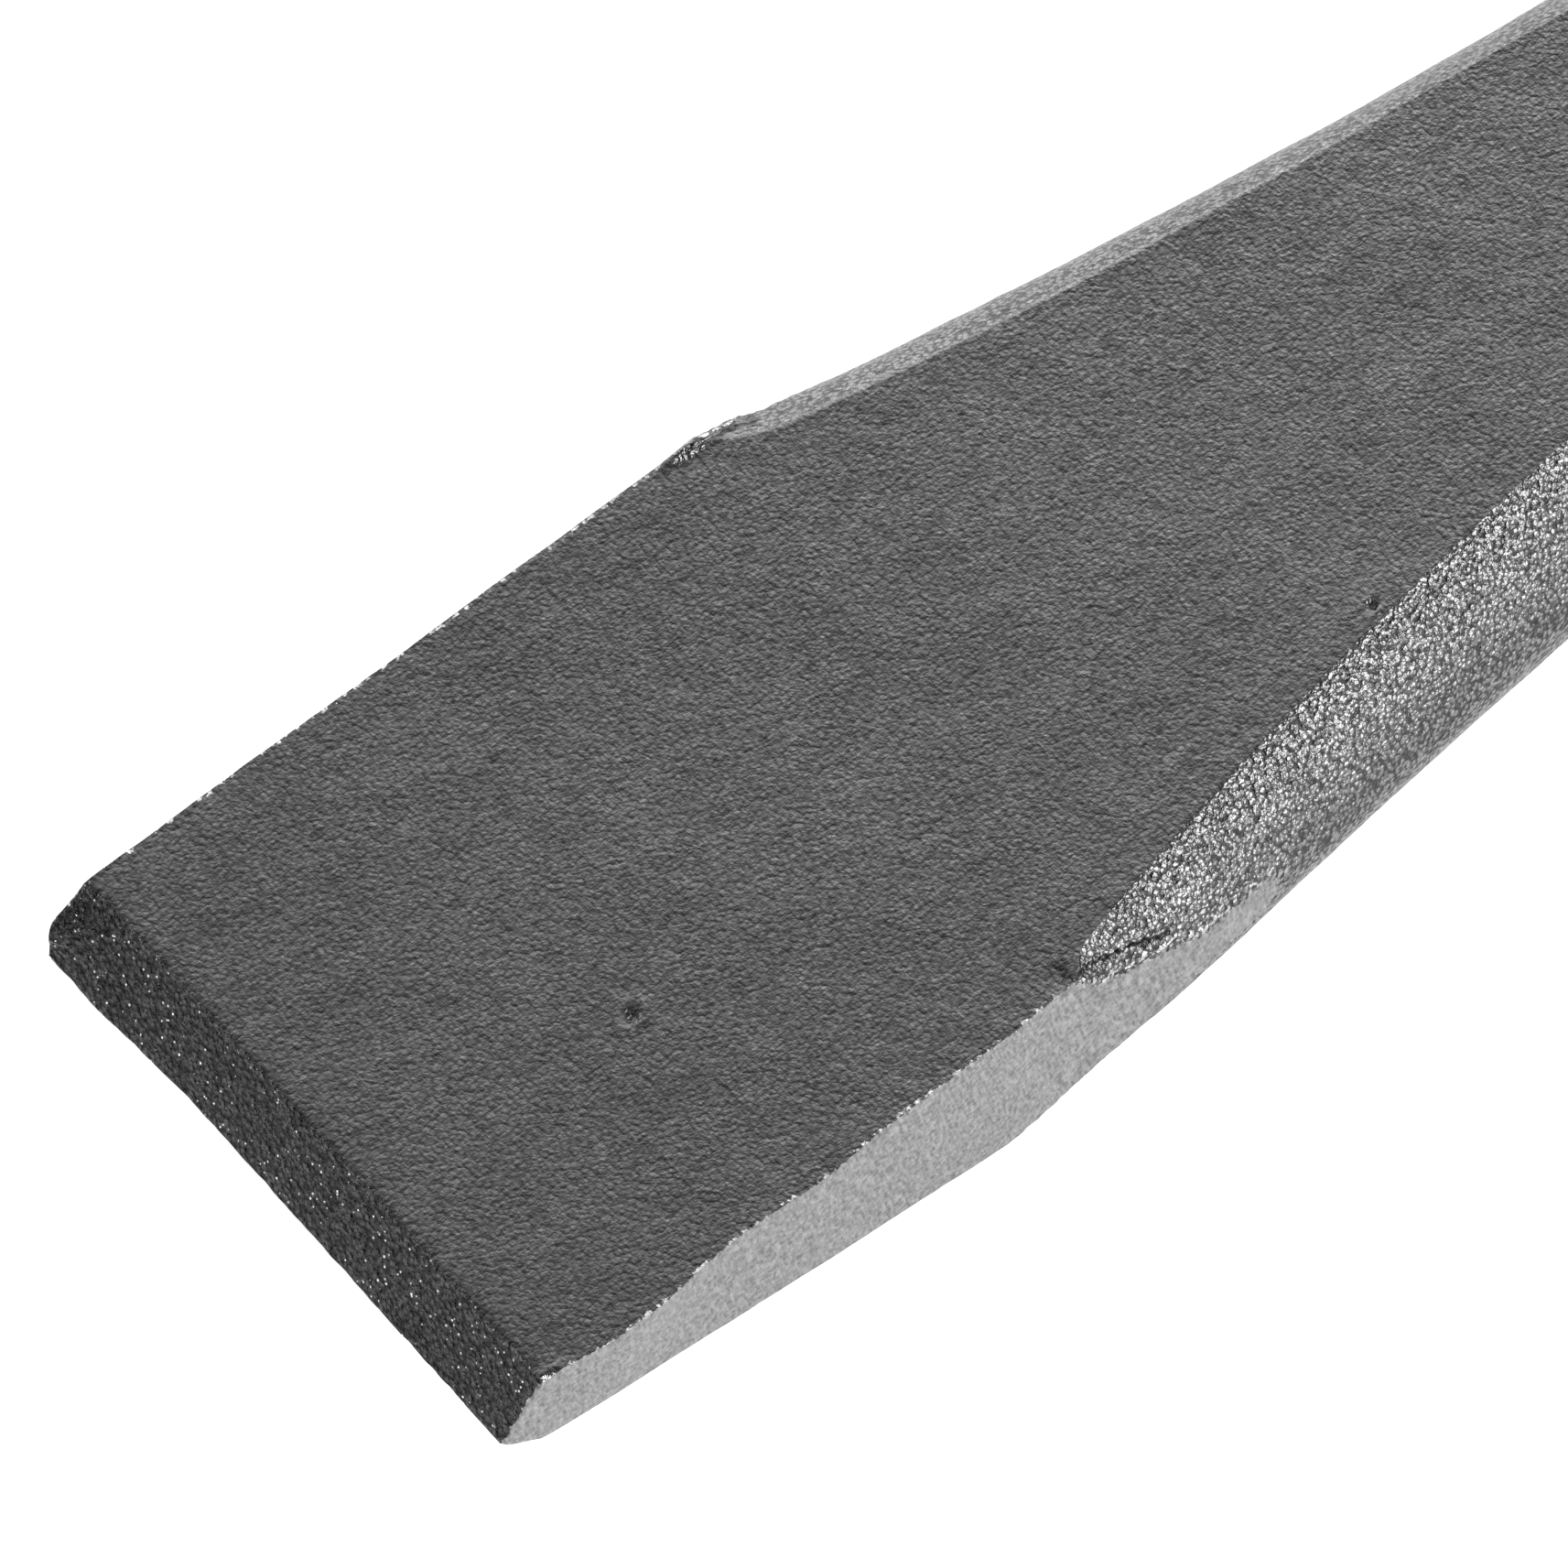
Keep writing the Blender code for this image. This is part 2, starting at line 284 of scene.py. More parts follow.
# Small pits and nicks in the upper face, as (back, y, radius, depth) in mm
PITS = [
    (1.4, 9.95, 0.40, 0.14),
    (9.8, 2.65, 0.34, 0.16),
    (9.9, -1.4, 0.16, 0.10),
    (18.2, 3.65, 0.20, 0.10),
    (11.8, -5.8, 0.20, 0.10),
    (5.2, -5.0, 0.14, 0.07),
    (32.7, 5.7, 0.24, 0.10),
    (26.0, 5.0, 0.20, 0.06),
    (28.2, -2.4, 0.16, 0.05),
    (38.3, 1.4, 0.20, 0.06),
]


def line_offset(along, across, line):
    """How far each point lies beyond a line drawn through (along, across) corners in mm."""
    corners = np.array(line) * MM
    return across - np.interp(along, corners[:, 0], corners[:, 1])


def crease(back, y, z):
    """The signed distance from the fold or from the burr's crevice, and how present it is, from 0 to 1."""
    fold_there = between(back, *FOLD_ENDS) * ramp(y, *FOLD_FADE) * (z > 0)
    crevice_there = between(back, *CREVICE_ENDS) * (z > 2 * MM)
    offset = np.where(y > 0, line_offset(back, z, FOLD_LINE), line_offset(back, y, BURR_LINE))
    return offset, np.where(y > 0, fold_there, crevice_there)


def burr_share(back, z):
    """How much of its full height the burr has at a distance back, on the upper side only."""
    return between(back, *BURR_ENDS) * (z > 1 * MM)


def pit_distances(back, y):
    """How far each point lies from each pit's middle, in that pit's radii."""
    distances = []
    for pit_back, pit_y, radius, _ in PITS:
        distances.append(np.hypot(back - pit_back * MM, (y - pit_y * MM) * PIT_NARROWNESS) / (radius * MM))
    return distances


def fold_relief(back, y, z):
    """The fold's groove with a rounded lip under it, and the burr that stands up outside its crevice."""
    offset, there = crease(back, y, z)
    offset = offset + 0.04 * MM * noise_field(-back, y, z, 0.5 * MM, 5)
    groove = FOLD_DEPTH * there * bump(offset, 0, FOLD_HALF_WIDTH)
    lip = FOLD_DEPTH * there * (y > 0) * bump(offset, FOLD_LIP_OFFSET, FOLD_LIP_REACH) / 2
    rise = BURR_HEIGHT + BURR_UNEVENNESS * noise_field(-back, y, z, 0.9 * MM, 9)
    outside = ramp(-line_offset(back, y, BURR_LINE), *BURR_FOOT) * (y < 0)
    return groove, lip, rise * burr_share(back, z) * outside


def relief(back, y, z):
    """How far the skin stands out from the plain outline, in metres."""
    height = 0
    for seed, (depth, size) in enumerate(SKIN_LUMPS, 1):
        height = height + depth * MM * noise_field(-back, y, z, size * MM, seed)
    groove, lip, burr = fold_relief(back, y, z)
    height = height - groove + lip + burr
    for (*_, depth), away in zip(PITS, pit_distances(back, y)):
        rim = 0.45 * bump(away, 1.35, 0.4)
        height -= depth * MM * ramp(z, 0, 1 * MM) * (bump(away, 0, 0.7) - rim)
    return height * (1 - ramp(back, VISIBLE_LENGTH, FINE_LENGTH - 1 * MM))


def worn_border(behind, z):
    """How much the corner between bevel and skin is worn down at a distance behind it, more on the lower."""
    upper = -0.05 * MM * np.exp(-behind / (0.12 * MM))
    lower = -0.13 * MM * np.exp(-behind / (0.5 * MM))
    return np.where(z > 0, upper, lower)


# ---- The fine mesh of the forged end

# What each point tells the material: mm ground away, mm behind the bevel and how strongly painted glints
# mark its chipped border, then mm away from the fold or the burr's crevice, how present that crease is, and
# how deep in a pit it lies
SHADING_MARKS = ("ground_mm", "behind_bevel_mm", "chip_glints", "crease_mm", "creased", "pitted")
UNMARKED = (-1.0, FINE_LENGTH / MM, 0.0, 1.0, 0.0, 0.0)
END_RELIEF_SHIFT = 40 * MM  # the end's roughness is read from another stretch of the same noise
END_ROUGHNESS = 1.2
BEVEL_WAVES = [(0.05, 1.6, 7), (0.03, 0.4, 8)]  # depth and length in mm, and the noise's seed
BEVEL_ROUNDS = 12  # steps that settle where the skin meets the bevel
EXTRA_SECTIONS = (0.25, 0.6)  # between the first two sections, as shares of their spacing
FLANK_WAVES = 0.03 * MM
GROUND_MARK_LIMIT = 0.2 * MM
NOT_GROUND = -0.1 * MM


def bevel_back(y, height):
    """How far back the two end bevels lie, with the small waves that grinding left in them."""
    above = height - EDGE_HEIGHT
    plain = np.maximum(above / UPPER_BEVEL_RISE, -above / LOWER_BEVEL_RISE)
    front = np.zeros_like(y)
    waves = 0
    for depth, size, seed in BEVEL_WAVES:
        waves = waves + depth * MM * noise_field(front, y, height, size * MM, seed)
    near_edge = np.clip(1 - np.abs(above) / CORNER_LEAD_REACH, 0, 1)
    lead = CORNER_LEAD * ramp(-y, 3 * MM, HALF_BLADE) * near_edge
    bulge = NOSE_BULGE * ramp(-y, 8.8 * MM, HALF_BLADE) * bump(height, NOSE_HEIGHT, NOSE_REACH)
    return np.maximum(np.maximum(plain + waves, 0) - lead - bulge, -NOSE_LEAD)


def first_ring_back(columns):
    """Where each lengthwise line of the mesh meets the end bevels."""
    back = np.full(columns.shape[1], MM)
    for _ in range(BEVEL_ROUNDS):
        y, height, _, _ = forged_points(back, columns)
        back = bevel_back(y, height)
    return back


def corner_limit(back, radius):
    """The blade's half width near the cutting edge, where a corner is rounded."""
    short = np.clip(radius - back, 0, radius)
    return HALF_BLADE - radius + np.sqrt(radius**2 - short**2)


def fine_grid():
    """back, y and height of the forged end's points, one row a section, and how much was ground away."""
    columns = ring_columns(FACE_STEPS, SIDE_STEPS)
    first = first_ring_back(columns)
    near = np.linspace(0, 1, round(VISIBLE_LENGTH / STATION_STEP) + 1)[:, None]
    near = np.vstack([near[:1]] + [near[1] * share for share in EXTRA_SECTIONS] + [near[1:]])
    far = np.arange(VISIBLE_LENGTH + FAR_STATION_STEP, FINE_LENGTH + MERGE, FAR_STATION_STEP)[:, None]
    back = np.vstack([first + (VISIBLE_LENGTH - first) * near, far + np.zeros_like(first)])
    y, z, out_y, out_z = forged_points(back, columns)
    out = relief(back, y, z) + worn_border(back - first, z)
    y = y + out * out_y
    z = z + out * out_z
    share_up = np.clip(0.5 + 0.5 * z / half_thickness(back), 0, 1)
    limit = flank_limit(back, np.sign(y), share_up)
    limit = np.minimum(limit + FLANK_WAVES * noise_field(-back, np.sign(y), z, 2.5 * MM, 6), HALF_BLADE)
    removed = np.minimum(np.abs(y) - limit, GROUND_MARK_LIMIT)
    removed[0] = np.where(y[0] < 0, NOT_GROUND, removed[0])
    nose = corner_limit(back + NOSE_LEAD, NOSE_RADIUS) / HALF_BLADE
    y = np.clip(y, -limit * nose, limit * corner_limit(back, CORNER_RADIUS) / HALF_BLADE)
    return back, y, z, removed


def end_rows(back, y, z):
    """The bevelled end as rows from the first section's +Y flank line to its -Y one."""
    half = FACE_STEPS + SIDE_STEPS
    left = list(range(FACE_STEPS, half + 1))
    right = [0] + list(range(2 * half - 1, half + FACE_STEPS - 1, -1))
    share = np.linspace(0, 1, FACE_STEPS + 1)[None, :]
    height = z[right][:, None] * (1 - share) + z[left][:, None] * share
    across = y[right][:, None] * (1 - share) + y[left][:, None] * share
    return bevel_back(across, height), across, height, right, left


def shading_marks(back, y, z, removed):
    """The values of SHADING_MARKS for the points of the skin."""
    # Where painted glints go: along the ground border of the upper skin, and on the burr's lip.
    chip_glints = ramp(z, 0.2 * MM, 0.6 * MM) * (1 - 0.4 * ramp(back, 17 * MM, 19 * MM))
    offset, there = crease(back, y, z)
    chip_glints = np.maximum(chip_glints, there * (y < 0))
    pitted = sum(bump(away, 0, 0.8) for away in pit_distances(back, y)) * ramp(z, 0, 1 * MM)
    return removed / MM, (back - back[0]) / MM, chip_glints, np.clip(offset / MM, -1, 1), there, pitted


def add_point(bm, back, y, height, marks):
    vert = bm.verts.new((EDGE_X - back, y, AXIS_HEIGHT + height))
    for name, mark in zip(SHADING_MARKS, marks):
        vert[bm.verts.layers.float[name]] = mark
    return vert


def join_rings(bm, rings):
    for front, rear in zip(rings, rings[1:]):
        for j in range(len(front)):
            k = (j + 1) % len(front)
            bm.faces.new((front[j], front[k], rear[k], rear[j]))


def add_skin(bm, back, y, z, removed):
    """The sections of the forged end, joined front to rear. It returns the first one's points."""
    marks = shading_marks(back, y, z, removed)
    rings = []
    for i in range(len(back)):
        rows = zip(back[i], y[i], z[i], zip(*[mark[i] for mark in marks]))
        rings.append([add_point(bm, *row) for row in rows])
    join_rings(bm, rings)
    return rings[0]


def add_bevelled_end(bm, ring, back, y, z):
    """Closes the first section with a grid of points on the two end bevels."""
    depth, across, height, right, left = end_rows(back, y, z)
    rough = relief(depth + END_RELIEF_SHIFT, across, height) * END_ROUGHNESS
    depth = depth - np.minimum(rough, 0)
    to_border = (half_thickness(MM) - np.abs(height)) / UPPER_BEVEL_RISE / MM
    to_flank = np.minimum(across[:, :1] - across, across - across[:, -1:]) / MM
    grid = [ring[: FACE_STEPS + 1]]
    for k in range(1, len(right) - 1):
        inner = []
        for m in range(1, FACE_STEPS):
            marks = (-to_flank[k, m], -to_border[k, m], 0.5, 1.0, 0.0, 0.0)
            inner.append(add_point(bm, depth[k, m], across[k, m], height[k, m], marks))
        grid.append([ring[right[k]]] + inner + [ring[left[k]]])
    grid.append([ring[2 * FACE_STEPS + SIDE_STEPS - m] for m in range(FACE_STEPS + 1)])
    for upper, lower in zip(grid, grid[1:]):
        for m in range(FACE_STEPS):
            bm.faces.new((upper[m], upper[m + 1], lower[m + 1], lower[m]))


def forged_end_mesh():
    """A bmesh of the forged end, open at the back, whose points carry the marks for the material."""
    back, y, z, removed = fine_grid()
    bm = bmesh.new()
    for name in SHADING_MARKS:
        bm.verts.layers.float.new(name)
    ring = add_skin(bm, back, y, z, removed)
    add_bevelled_end(bm, ring, back[0], y[0], z[0])
    return bm


# ---- The bar, neck and shank


def eased_corner(place, radius, sign):
    """Points that ease the profile's corner at a place and radius. sign is -1 below it and +1 above it."""
    points = []
    for i in range(EASING_STEPS + 1):
        angle = EASING_ANGLE * i / EASING_STEPS
        rise = sign * EASING_RADIUS * (1 - math.cos(angle)) * 0.5
        points.append((place + sign * EASING_RADIUS * math.sin(angle), radius + rise))
    return points


def rear_profile():
    """Distances from the rear face and radii along the bar, neck and shank, front to rear."""
    neck_front = SHANK_LENGTH + NECK_LENGTH
    points = eased_corner(neck_front + 2 * MM, BAR_RADIUS, -1)
    points += eased_corner(SHANK_LENGTH - 1 * MM, SHANK_RADIUS, 1)[::-1]
    points += [(REAR_CHAMFER, SHANK_RADIUS), (0.0, SHANK_RADIUS - REAR_CHAMFER)]
    return points


def rear_rings():
    """The sections behind the fine mesh: the run-out of the broad faces, then circles along the profile."""
    columns = ring_columns(REAR_FACE_STEPS, REAR_STEPS // 2 - 1)
    runout = (BAR_RADIUS * math.cos(math.pi / REAR_STEPS) - EDGE_HALF_THICKNESS) / WEDGE_SLOPE
    count = math.ceil((runout - REAR_START) / REAR_STATION_STEP)
    rings = []
    for i in range(count + 1):
        back = REAR_START + (runout - REAR_START) * i / count
        y, z, _, _ = forged_points(np.full(columns.shape[1], back), columns)
        z = np.clip(z, -AXIS_HEIGHT, AXIS_HEIGHT)
        rings.append([Vector((EDGE_X - back, a, AXIS_HEIGHT + b)) for a, b in zip(y, z)])
    last = rings[-1]
    for from_rear, radius in rear_profile():
        scale = radius / BAR_RADIUS
        ring = []
        for point in last:
            z = (point.z - AXIS_HEIGHT) * scale + AXIS_HEIGHT
            ring.append(Vector((REAR_X + from_rear, point.y * scale, z)))
        rings.append(ring)
    return rings


def loft(rings):
    bm = bmesh.new()
    made = [[bm.verts.new(point) for point in ring] for ring in rings]
    join_rings(bm, made)
    bm.faces.new(made[0])
    bm.faces.new(made[-1])
    bmesh.ops.recalc_face_normals(bm, faces=bm.faces)
    return bm


def to_object(name, bm):
    mesh = bpy.data.meshes.new(name)
    bm.to_mesh(mesh)
    bm.free()
    obj = bpy.data.objects.new(name, mesh)
    bpy.context.scene.collection.objects.link(obj)
    return obj


def extruded(name, outline, half_width):
    """A solid from an outline in X and Z, extruded to both sides in Y."""
    bm = bmesh.new()
    face = bm.faces.new([bm.verts.new((x, -half_width, z)) for x, z in outline])
    grown = bmesh.ops.extrude_face_region(bm, geom=[face])
    moved = [item for item in grown["geom"] if isinstance(item, bmesh.types.BMVert)]
    bmesh.ops.translate(bm, vec=(0, 2 * half_width, 0), verts=moved)
    bmesh.ops.recalc_face_normals(bm, faces=bm.faces)
    return to_object(name, bm)


def locking_groove_cutter(side):
    """A capsule whose radius gives the closed groove its width and depth."""
    half_width = LOCK_GROOVE_WIDTH / 2
    bottom = SHANK_RADIUS - LOCK_GROOVE_DEPTH
    rise = math.sqrt(SHANK_RADIUS**2 - half_width**2) - bottom
    radius = (half_width**2 + rise**2) / (2 * rise)
    offset = bottom + radius
    overhang = math.sqrt(radius**2 - (offset - SHANK_RADIUS) ** 2)
    half_straight = LOCK_GROOVE_LENGTH / 2 - overhang
    bm = bmesh.new()
    bmesh.ops.create_uvsphere(bm, u_segments=72, v_segments=36, radius=radius)
    bmesh.ops.rotate(bm, verts=bm.verts, cent=(0, 0, 0), matrix=Matrix.Rotation(math.pi / 2, 3, "Y"))
    middle = [vert for vert in bm.verts if abs(vert.co.x) < MERGE]
    bmesh.ops.split_edges(bm, edges=[e for e in bm.edges if all(vert in middle for vert in e.verts)])
    for vert in bm.verts:
        forward = sum(face.calc_center_median().x for face in vert.link_faces) > 0
        vert.co.x += half_straight if forward else -half_straight
    bmesh.ops.bridge_loops(bm, edges=[edge for edge in bm.edges if edge.is_boundary])
    bmesh.ops.recalc_face_normals(bm, faces=bm.faces)
    middle_x = REAR_X + LOCK_GROOVE_START + LOCK_GROOVE_LENGTH / 2
    bmesh.ops.translate(bm, vec=(middle_x, side * offset, AXIS_HEIGHT), verts=bm.verts)
    return to_object("locking_groove_cutter", bm)


def drive_groove_cutter(side):
    """An open groove with a flat bottom, which runs out forward along the arc of the milling cutter."""
    bottom = SHANK_RADIUS - DRIVE_GROOVE_DEPTH
    top = SHANK_RADIUS + DRIVE_GROOVE_DEPTH
    arc_span = math.acos(1 - (top - bottom) / DRIVE_GROOVE_RUNOUT)
    surface_span = math.acos(1 - DRIVE_GROOVE_DEPTH / DRIVE_GROOVE_RUNOUT)
    arc_start = REAR_X + DRIVE_GROOVE_LENGTH - DRIVE_GROOVE_RUNOUT * math.sin(surface_span)
    outline = [(REAR_X - REAR_CHAMFER, top), (REAR_X - REAR_CHAMFER, bottom)]
    steps = 16
    for i in range(steps + 1):
        angle = arc_span * i / steps
        x = arc_start + DRIVE_GROOVE_RUNOUT * math.sin(angle)
        outline.append((x, bottom + DRIVE_GROOVE_RUNOUT * (1 - math.cos(angle))))
    placed = [(x, AXIS_HEIGHT + side * z) for x, z in outline]
    return extruded("drive_groove_cutter", placed, DRIVE_GROOVE_WIDTH / 2)


def evaluated_mesh(obj):
    bpy.context.view_layer.update()
    return bpy.data.meshes.new_from_object(obj.evaluated_get(bpy.context.evaluated_depsgraph_get()))


def rear_mesh():
    """The bar and shank with their grooves cut, as a mesh that is closed at both ends."""
    rear = to_object("rear_blank", loft(rear_rings()))
    cutters = [maker(side) for side in (1, -1) for maker in (locking_groove_cutter, drive_groove_cutter)]
    for cutter in cutters:
        boolean = rear.modifiers.new(cutter.name, "BOOLEAN")
        boolean.operation = "DIFFERENCE"
        boolean.solver = "EXACT"
        boolean.object = cutter
    mesh = evaluated_mesh(rear)
    for obj in [rear] + cutters:
        bpy.data.objects.remove(obj, do_unlink=True)
    return mesh


def chisel_mesh():
    """The whole bit as one closed mesh: the fine forged end bridged to the bar behind it."""
    bm = forged_end_mesh()
    fine_count = len(bm.verts)
    bm.from_mesh(rear_mesh())
    bm.verts.ensure_lookup_table()
    cap_x = EDGE_X - REAR_START
    for name, mark in zip(SHADING_MARKS, UNMARKED):
        layer = bm.verts.layers.float[name]
        for index in range(fine_count, len(bm.verts)):
            bm.verts[index][layer] = mark
    caps = [face for face in bm.faces if all(abs(vert.co.x - cap_x) < MERGE for vert in face.verts)]
    bmesh.ops.delete(bm, geom=caps, context="FACES_ONLY")
    open_edges = [edge for edge in bm.edges if edge.is_boundary]
    bmesh.ops.bridge_loops(bm, edges=open_edges)
    bmesh.ops.recalc_face_normals(bm, faces=bm.faces)
    mesh = bpy.data.meshes.new("chisel")
    bm.to_mesh(mesh)
    bm.free()
    return mesh


# ---- Materials


class Graph:
    """Short calls for building a material's nodes."""

    def __init__(self, name):
        self.material = bpy.data.materials.new(name)
        self.material.use_nodes = True
        self.tree = self.material.node_tree
        self.shader = self.tree.nodes["Principled BSDF"]

    def node(self, kind, **settings):
        made = self.tree.nodes.new(kind)
        for key, value in settings.items():
            setattr(made, key, value)
        return made

    def link(self, source, target):
        if isinstance(source, (int, float)):
            target.default_value = source
        else:
            self.tree.links.new(source, target)

    def math(self, operation, a, b=0.0, c=0.0, clamp=False):
        made = self.node("ShaderNodeMath", operation=operation, use_clamp=clamp)
        for socket, value in zip(made.inputs, (a, b, c)):
            self.link(value, socket)
        return made.outputs[0]

    def position(self, stretch=(1, 1, 1), turn=(0, 0, 0)):
        """Object coordinates in metres, turned and then drawn out along each axis by the given factors."""
        coordinates = self.node("ShaderNodeTexCoord")
        mapping = self.node("ShaderNodeMapping", vector_type="TEXTURE")
        mapping.inputs["Scale"].default_value = stretch
        mapping.inputs["Rotation"].default_value = turn
        self.link(coordinates.outputs["Object"], mapping.inputs["Vector"])
        return mapping.outputs["Vector"]

    def facing(self, axis):
        """How far the surface faces along an axis, from 1 through 0 for square to it to -1."""
        split = self.node("ShaderNodeSeparateXYZ")
        self.link(self.node("ShaderNodeNewGeometry").outputs["Normal"], split.inputs["Vector"])
        return split.outputs[axis]

    def along(self):
        """Where a point lies along the bit, in metres."""
        split = self.node("ShaderNodeSeparateXYZ")
        self.link(self.node("ShaderNodeTexCoord").outputs["Object"], split.inputs["Vector"])
        return split.outputs["X"]

    def noise(self, vector, size, detail=2.0, rough=0.5):
        """Noise between 0 and 1 whose lumps are about the given size in metres."""
        made = self.node("ShaderNodeTexNoise")
        made.inputs["Scale"].default_value = 1 / size
        made.inputs["Detail"].default_value = detail
        made.inputs["Roughness"].default_value = rough
        self.link(vector, made.inputs["Vector"])
        return made.outputs["Fac"]

    def cells(self, vector, size, output="Distance"):
        """Cells of about the given size in metres: the distance from each one's middle, or its colour."""
        made = self.node("ShaderNodeTexVoronoi", feature="F1")
        made.inputs["Scale"].default_value = 1 / size
        self.link(vector, made.inputs["Vector"])
        return made.outputs[output]

    def jostled(self, vector, amount, size):
        """The same coordinates pushed about a little, so that cells lose their straight sides."""
        wobble = self.node("ShaderNodeTexNoise")
        wobble.inputs["Scale"].default_value = 1 / size
        wobble.inputs["Detail"].default_value = 1.0
        self.link(vector, wobble.inputs["Vector"])
        push = self.node("ShaderNodeVectorMath", operation="MULTIPLY_ADD")
        self.link(wobble.outputs["Color"], push.inputs[0])
        push.inputs[1].default_value = (amount, amount, amount)
        self.link(vector, push.inputs[2])
        return push.outputs[0]

    def span(self, value, low, high, new_low=0.0, new_high=1.0):
        made = self.node("ShaderNodeMapRange")
        made.inputs["From Min"].default_value = low
        made.inputs["From Max"].default_value = high
        made.inputs["To Min"].default_value = new_low
        self.link(new_high, made.inputs["To Max"])
        self.link(value, made.inputs["Value"])
        return made.outputs["Result"]

    def mix(self, share, a, b):
        made = self.node("ShaderNodeMix", data_type="FLOAT")
        self.link(share, made.inputs[0])
        self.link(a, made.inputs[2])
        self.link(b, made.inputs[3])
        return made.outputs[0]

    def attribute(self, name):
        return self.node("ShaderNodeAttribute", attribute_name=name).outputs["Fac"]

    def grey(self, value):
        made = self.node("ShaderNodeCombineColor")
        for socket in made.inputs[:3]:
            self.link(value, socket)
        return made.outputs[0]

    def bump(self, height, depth, normal=None):
        """Bump whose height runs from 0 to 1 over a real depth in metres."""
        made = self.node("ShaderNodeBump")
        made.inputs["Distance"].default_value = depth
        self.link(height, made.inputs["Height"])
        if normal is not None:
            self.link(normal, made.inputs["Normal"])
        return made.outputs["Normal"]


class SteelFields:
    """The patterns that several parts of the steel's material share."""

    def __init__(self, g):
        self.place = g.position()
        self.jostled = g.jostled(self.place, 0.07 * MM, 0.16 * MM)
        self.grain = g.cells(self.jostled, 0.16 * MM)
        self.broad = g.span(g.math("ABSOLUTE", g.facing("Z")), 0.80, 0.95)
        self.patches = g.noise(self.place, 2.5 * MM, detail=3.0, rough=0.6)
        self.specks = g.noise(self.place, 0.35 * MM, detail=2.0)
        self.fray = g.span(g.noise(self.place, 0.20 * MM, detail=3.0, rough=0.65), 0.3, 0.7, -0.08, 0.08)
        self.behind = g.attribute("behind_bevel_mm")
        self.reach = g.math("ADD", g.attribute("ground_mm"), self.fray)
        self.ground = g.span(self.reach, -0.008, 0.012)
        self.turned = self.turned_share(g)
        self.rings = g.noise(g.position(stretch=(1, 60, 60)), 0.20 * MM, detail=3.0, rough=0.6)
        lines = g.position(stretch=(1, 1, 5), turn=(0, GRINDING_ANGLE, 0))
        self.grind = g.noise(lines, 0.09 * MM, detail=2.0)
        self.crack = self.crack_share(g)

    def turned_share(self, g):
        """1 on the turned shank, less where blasting reached it, and 0 on the rest."""
        front = REAR_X + TURNED_LENGTH
        turned = g.span(g.along(), front + MM, front - MM)
        blasted = g.math("MULTIPLY_ADD", self.specks, 0.5, self.patches)
        return g.math("MULTIPLY", turned, g.span(blasted, 0.62, 0.72, 0.75, 1.0))

    def crack_share(self, g):
        """A thin uneven line along the fold and the burr's crevice."""
        wobble = g.span(g.noise(self.place, 0.25 * MM, detail=2.0), 0.3, 0.7, -0.05, 0.05)
        away = g.math("ABSOLUTE", g.math("ADD", g.attribute("crease_mm"), wobble))
        return g.math("MULTIPLY", g.span(away, 0.06, 0.015), g.attribute("creased"))


def blasted_height(g, fields):
    """The skin's dimples in mm: strong pearls on the rounded sides, and faint grains on the broad faces."""
    domes = g.math("SUBTRACT", 1.0, g.math("POWER", fields.grain, 2.0))
    ripple = g.noise(fields.place, 0.118 * MM, detail=1.2, rough=0.6)
    lively = g.span(g.noise(fields.place, 0.9 * MM, detail=2.0), 0.3, 0.7, 0.028, 0.044)
    lively = g.math("MULTIPLY", lively, g.span(fields.behind, 0, 40, 0.88, 1.15))
    pearls = g.math("MULTIPLY_ADD", domes, 0.066, g.math("MULTIPLY", ripple, 0.07))
    grains = g.math("MULTIPLY_ADD", domes, 0.020, g.math("MULTIPLY", ripple, lively))
    height = g.mix(fields.broad, pearls, grains)
    return g.math("MULTIPLY_ADD", fields.crack, -0.025, height)


